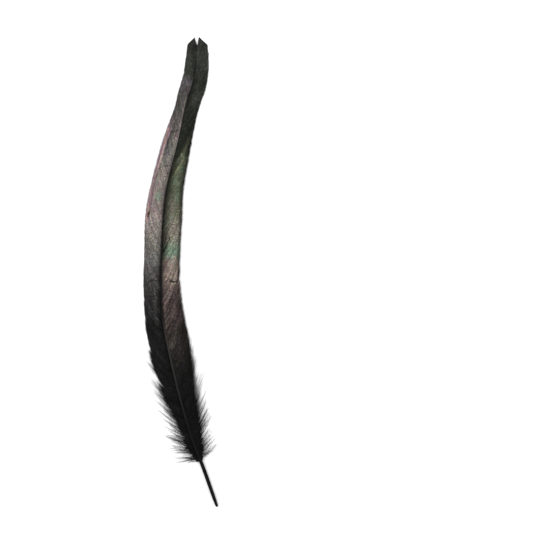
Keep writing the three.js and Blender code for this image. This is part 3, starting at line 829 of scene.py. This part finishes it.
class VaneLook(Nodes):
    """The look of one vane. Places are in millimetres: along the shaft, out from it, and in from
    the edge; root and run follow each barb, and tone is the barb's own."""

    def __init__(self, name, side):
        super().__init__(name)
        self.along, signed, self.free = self.attribute("place")
        self.root, self.run, self.tone = self.attribute("barb")
        self.out = self.times(signed, side)
        self.spot = self.vector(self.along, self.out)
        wobble = self.drift(PLACE_WOBBLE, self.spot, PLACE_SPOTS)
        self.rough_spot = self.vector_math("ADD", self.spot, wobble)

    def swing(self, *noise):
        """Noise of about -1 to 1, as it strays about a half by a quarter each way."""
        return self.fit(self.noise(*noise), 4.0, -2.0)

    def drawn_out(self, scale, layer=0.0):
        """The place for noise that is drawn out along the barbs."""
        return self.vector(self.times(self.root, scale[0]), self.times(self.run, scale[1]), layer)

    def along_barbs(self, scale):
        return self.swing(self.drawn_out(scale))

    def even(self, scale):
        return self.swing(self.spot, scale, 1.0)

    def tones(self, value, rows):
        return self.ramp(value, [(at, dye_and_sheen(name)) for at, name in rows.items()], 0, TONES_END)

    def base(self, rows):
        """The tones along the vane, moved up and down it by streaks and broad spots."""
        placed = self.fit(self.along_barbs(LOCK_NOISE), TONE_DRIFT, self.along)
        placed = self.fit(self.even(BROAD_SPOTS), TONE_DRIFT, placed)
        return self.tones(placed, rows)

    def patches(self, colour, rows):
        for tone, at, size, amount in rows:
            off = self.vector_math("SUBTRACT", self.rough_spot, (*at, 0.0))
            off = self.vector_math("DIVIDE", off, (*size, 1.0))
            gap = self.vector_math("LENGTH", off, output=1)
            gap = self.fit(self.along_barbs(STREAK_NOISE), PATCH_FRAY, gap)
            share = self.between(gap, 1.0, PATCH_CORE, 0.0, amount)
            colour = self.mix(share, colour, dye_and_sheen(tone))
        return colour

    def stroke(self, along, out, to_along, to_out, width):
        """1 on a line from a place to another, fading to 0 at width."""
        way = np.array([to_along, to_out, 0]) - (along, out, 0)
        off = self.vector_math("SUBTRACT", self.rough_spot, (along, out, 0))
        share = self.vector_math("DOT_PRODUCT", off, tuple(way / (way @ way)), output=1)
        share = self.math("ADD", share, 0.0, clamp=True)
        gap = self.vector_math("DISTANCE", off, self.scaled(tuple(way), share), output=1)
        return self.between(gap, width, width * STROKE_CORE)

    # Painted highlights: lighter tones laid along strokes.
    def lines(self, colour, rows):
        for *line, tone, amount in rows:
            share = self.times(self.stroke(*line), amount)
            colour = self.mix(share, colour, dye_and_sheen(tone))
        return colour

    def marks(self, rows):
        """What is left of the light under the dark marks: fault bars and painted shade."""
        return self.times(*[self.fit(self.stroke(*line), -dark, 1.0) for *line, dark in rows])

    def shade(self, low, high, rows):
        """What is left of the light in a shade."""
        depth = self.times(self.level(self.along, rows), self.between(self.out, low, high))
        return self.math("SUBTRACT", 1.0, depth)

    def light_and_dark(self):
        """How much lighter or darker each spot is, from streaks and grain, 1 on average."""
        bars = self.vector(self.times(self.along, BARS_ALONG), self.times(self.out, BARS_OUT))
        grain = self.times(self.along_barbs(BARB_NOISE), GRAIN)
        grain = self.fit(self.even(FINE_SPOTS), GRAIN, grain)
        grain = self.fit(self.swing(bars), BARS, grain)
        streaks = self.fit(self.along_barbs(LOCK_NOISE), LOCKS, self.times(self.tone, BARBS))
        streaks = self.fit(self.along_barbs(STREAK_NOISE), STREAKS, streaks)
        streaks = self.times(streaks, self.level(self.along, STREAKS_ALONG))
        steps = self.fit(grain, self.level(self.along, GRAIN_ALONG), streaks)
        steps = self.times(steps, self.level(self.along, CONTRAST_ALONG))
        return self.math("POWER", CONTRAST, steps)

    def flecks(self, colour):
        """Pink, green and blue flecks from the gloss, and streaks of the same along the barbs."""
        grid = self.vector_math("ADD", self.spot, (40.0, 7.0, 0.0))
        for place, amount in ((grid, 0.42), (self.drawn_out(FLECK_NOISE, 5.0), 0.4)):
            gain = self.vector_math("ADD", self.drift(amount, place, 1.0, 2.0, 0.7), (1, 1, 1))
            colour = self.mix(1.0, colour, gain, "MULTIPLY")
        return colour

    def dim(self, colour, *factors):
        return self.scaled(colour, self.times(*factors))

    def finish(self, colour):
        """The side that faces down has none of the gloss and is a dull brown-black."""
        facing = self.parts(self.node("TexCoord", {}, "Normal"))[2]
        dull = self.scaled(self.mix(DULL_BROWN, colour, dye_and_sheen("brown")), DULL_LIGHT)
        self.set("Base Color", self.mix(self.between(facing, *FACES_DOWN), colour, dull))
        self.set("Roughness", self.fit(self.along_barbs(SHEEN_NOISE), 0.05, 0.48))
        self.set("Specular IOR Level", 0.04)
        place = self.vector(self.times(self.run, BARBULES), self.root, self.out)
        self.set("Normal", self.bump(self.noise(place, 1.0, 1.0), 0.00006, 0.6))
        return self.material


def left_material():
    n = VaneLook("vane_left", 1.0)
    colour = n.patches(n.base(LEFT_TONES), LEFT_PATCHES)
    # The bent-over strip catches the light: painted pink sheen, and painted shade in its creases.
    strip = n.times(n.between(n.free, *STRIP_INNER), n.between(n.along, *STRIP_LOWER))
    strip = n.times(strip, n.between(n.along, *STRIP_UPPER))
    colour = n.mix(n.times(strip, STRIP_PINK_SHEEN), colour, dye_and_sheen("dusty_pink"))
    # Painted highlights along the fold, the shaft and some barbs, then flecks.
    colour = n.flecks(n.lines(colour, LEFT_HIGHLIGHTS))
    light = n.math("POWER", n.light_and_dark(), n.fit(strip, -STRIP_SMOOTH, 1.0))
    creases = n.fit(n.times(n.level(n.free, STRIP_CREASES), strip), -1.0, 1.0)
    return n.finish(n.dim(colour, light, n.shade(*LEFT_SHADE), creases, n.marks(LEFT_MARKS_AND_SHADE)))


def right_material():
    n = VaneLook("vane_right", -1.0)
    colour = n.patches(n.base(RIGHT_TONES), RIGHT_PATCHES)
    # Painted highlights where barbs catch the light, then flecks.
    colour = n.flecks(n.lines(colour, RIGHT_HIGHLIGHTS))
    slant = n.fit(n.out, -TURN_SLANT, n.along)
    slant = n.fit(n.along_barbs(STREAK_NOISE), TURN_FRAY, slant)
    streak = n.times(n.between(slant, *STREAK), n.between(n.along, *STREAK_ALONG), STREAK_LIGHT)
    outer = n.math("MAXIMUM", n.between(n.along, *OUTER_LIGHT), streak)
    # Painted shade: a band beside the shaft, which fades towards the foot, and the edge.
    shade_bands = [n.shade(*row) for row in RIGHT_SHADES]
    depth = n.times(n.between(n.along, *EDGE_SHADE_ALONG), EDGE_DEPTH)
    edge = n.math("SUBTRACT", 1.0, n.times(depth, n.between(n.free, *EDGE_SHADE)))
    lit = n.dim(colour, *shade_bands, edge, outer)
    # Above the slanted line the vane is painted in shade, as it is turned from the light.
    dark = n.patches(n.tones(n.along, TURNED_TONES), TURNED_PATCHES)
    dark = n.dim(dark, n.shade(*TURNED_SHADE))
    colour = n.mix(n.between(slant, *TURN_LINE), lit, dark)
    return n.finish(n.dim(colour, n.light_and_dark(), n.marks(RIGHT_MARKS_AND_SHADE)))


# Tones by distance along the shaft: black, but lighter where the down ends and near the tip.
SHAFT_TONES_END = 330
SHAFT_TONES = {
    30: "#0c0c0c", 56: "#0f0f0f", 78: "#1a1a19", 100: "#222221", 116: "#282725", 124: "#292726",
    131: "#232120", 140: "#141313", 150: "#0f0e0e", 240: "#131312", 262: "#1c1b1a", 286: "#1c1b1a",
    296: "#0f0f0e", 312: "#131412", 317: "#1e201c", 321: "#292c27", 328: "#2b2e29",
}
# The same for the left side of the ridge, where it is turned to the light.
LIT_SIDE_TONES = {
    198: "#131312", 212: "#403d3a", 245: "#54504c", 253: "#746e68", 262: "#86807a", 270: "#7a746e",
    279: "#4c4844", 290: "#1c1b1a",
}
LIT_SIDE, LIT_FROM, LIT_TO = (-0.1, 0.35), (198, 206), (294, 288)
FLANK, FLANK_FROM, FLANK_TO = (-0.1, -0.6), (62, 96), (138, 122)
FIBRES_ALONG, FIBRES_ACROSS = 0.35, 6.0
SPECKS, SPECK_LAYER = 2.6, 3.0


def shaft_material():
    n = Nodes("shaft")
    along, across, _ = n.attribute("place")
    place = n.vector(n.times(along, FIBRES_ALONG), n.times(across, FIBRES_ACROSS))
    fibres = n.noise(place, 1.0, 3.0)
    specks = n.noise(n.vector(along, across, SPECK_LAYER), SPECKS)
    ridge, lit = (
        n.ramp(along, [(at, linear(tone)) for at, tone in rows.items()], 0, SHAFT_TONES_END)
        for rows in (SHAFT_TONES, LIT_SIDE_TONES)
    )
    on_side = n.times(n.between(across, *LIT_SIDE), n.between(along, *LIT_FROM))
    colour = n.mix(n.times(on_side, n.between(along, *LIT_TO)), ridge, lit)
    # Where the down ends, the right side of the ridge is lit as well as its top.
    flank = n.times(n.between(across, *FLANK), n.between(along, *FLANK_FROM))
    flank = n.times(flank, n.between(along, *FLANK_TO))
    shade = n.fit(n.math("ADD", fibres, specks), 0.9, 0.1)
    shade = n.times(shade, n.math("ADD", flank, 1.0))
    n.set("Base Color", n.scaled(colour, shade))
    n.set("Roughness", n.fit(fibres, 0.25, 0.38))
    n.set("Specular IOR Level", 0.06)
    n.set("Normal", n.bump(fibres, 0.00005, 0.5))
    return n.material


def down_material():
    n = Nodes("down")
    place = n.node("TexCoord", {}, "Object")
    grain = n.noise(place, 700.0, 3.0)
    shade = n.math("ADD", grain, n.noise(place, 90.0, 1.0))
    n.set("Base Color", n.mix(n.between(shade, 0.6, 1.4), linear("#0a0a0a"), linear("#1d1c1b")))
    n.set("Roughness", n.fit(grain, 0.2, 0.65))
    n.set("Specular IOR Level", 0.04)
    return n.material


down_black = down_material()
for piece, slot, material in (
    (shaft, "shaft", shaft_material()),
    (left_vane, "vane", left_material()),
    (right_vane, "vane", right_material()),
    (left_down, "down", down_black),
    (right_down, "down", down_black),
):
    piece.data.materials.append(material)
    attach(piece, "root")
    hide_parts("feather")

# The camera looks straight down. The photo's frame is FRAME_PIXELS of PIXEL millimetres at the
# height of the vanes, and its middle is to the right of the feather.
PIXEL = 0.6924
FRAME_PIXELS = 533
FRAME_MIDDLE = (59.5, 3.8)
CAMERA_HEIGHT = 1200
VANE_LEVEL = 2
SENSOR = 36
camera_data = bpy.data.cameras.new("camera")
camera_data.sensor_width = SENSOR
camera_data.lens = SENSOR * (CAMERA_HEIGHT - VANE_LEVEL) / (PIXEL * FRAME_PIXELS)
camera = add_object("camera", camera_data)
camera.location = (FRAME_MIDDLE[0] * MM, FRAME_MIDDLE[1] * MM, CAMERA_HEIGHT * MM)
bpy.context.scene.camera = camera

# A pale floor just below the feather, an even white surround and two large soft lights, in metres.
FLOOR_HEIGHT = -0.00004
SURROUND = 0.75
floor_mesh = bpy.data.meshes.new("floor")
floor_mesh.from_pydata([(-3, -3, 0), (3, -3, 0), (3, 3, 0), (-3, 3, 0)], [], [(0, 1, 2, 3)])
floor = add_object("floor", floor_mesh)
floor.location.z = FLOOR_HEIGHT
floor_nodes = Nodes("floor")
floor_nodes.set("Base Color", (0.93, 0.93, 0.93, 1))
floor_nodes.set("Roughness", 0.9)
floor_nodes.set("Specular IOR Level", 0.0)
floor_mesh.materials.append(floor_nodes.material)

world = bpy.data.worlds.new("surround")
world.use_nodes = True
background = world.node_tree.nodes["Background"]
background.inputs["Color"].default_value = (1, 1, 1, 1)
background.inputs["Strength"].default_value = SURROUND
bpy.context.scene.world = world
bpy.context.scene.view_settings.view_transform = "Standard"


def soft_light(name, place, size, power):
    data = bpy.data.lights.new(name, "AREA")
    data.size = size
    data.energy = power
    light = add_object(name, data)
    light.location = place
    light.rotation_euler = (-Vector(place)).to_track_quat("-Z", "Y").to_euler()


soft_light("key", (-1.0, 0.5, 1.1), 1.0, 16)
soft_light("fill", (1.1, -0.4, 0.9), 1.0, 8)
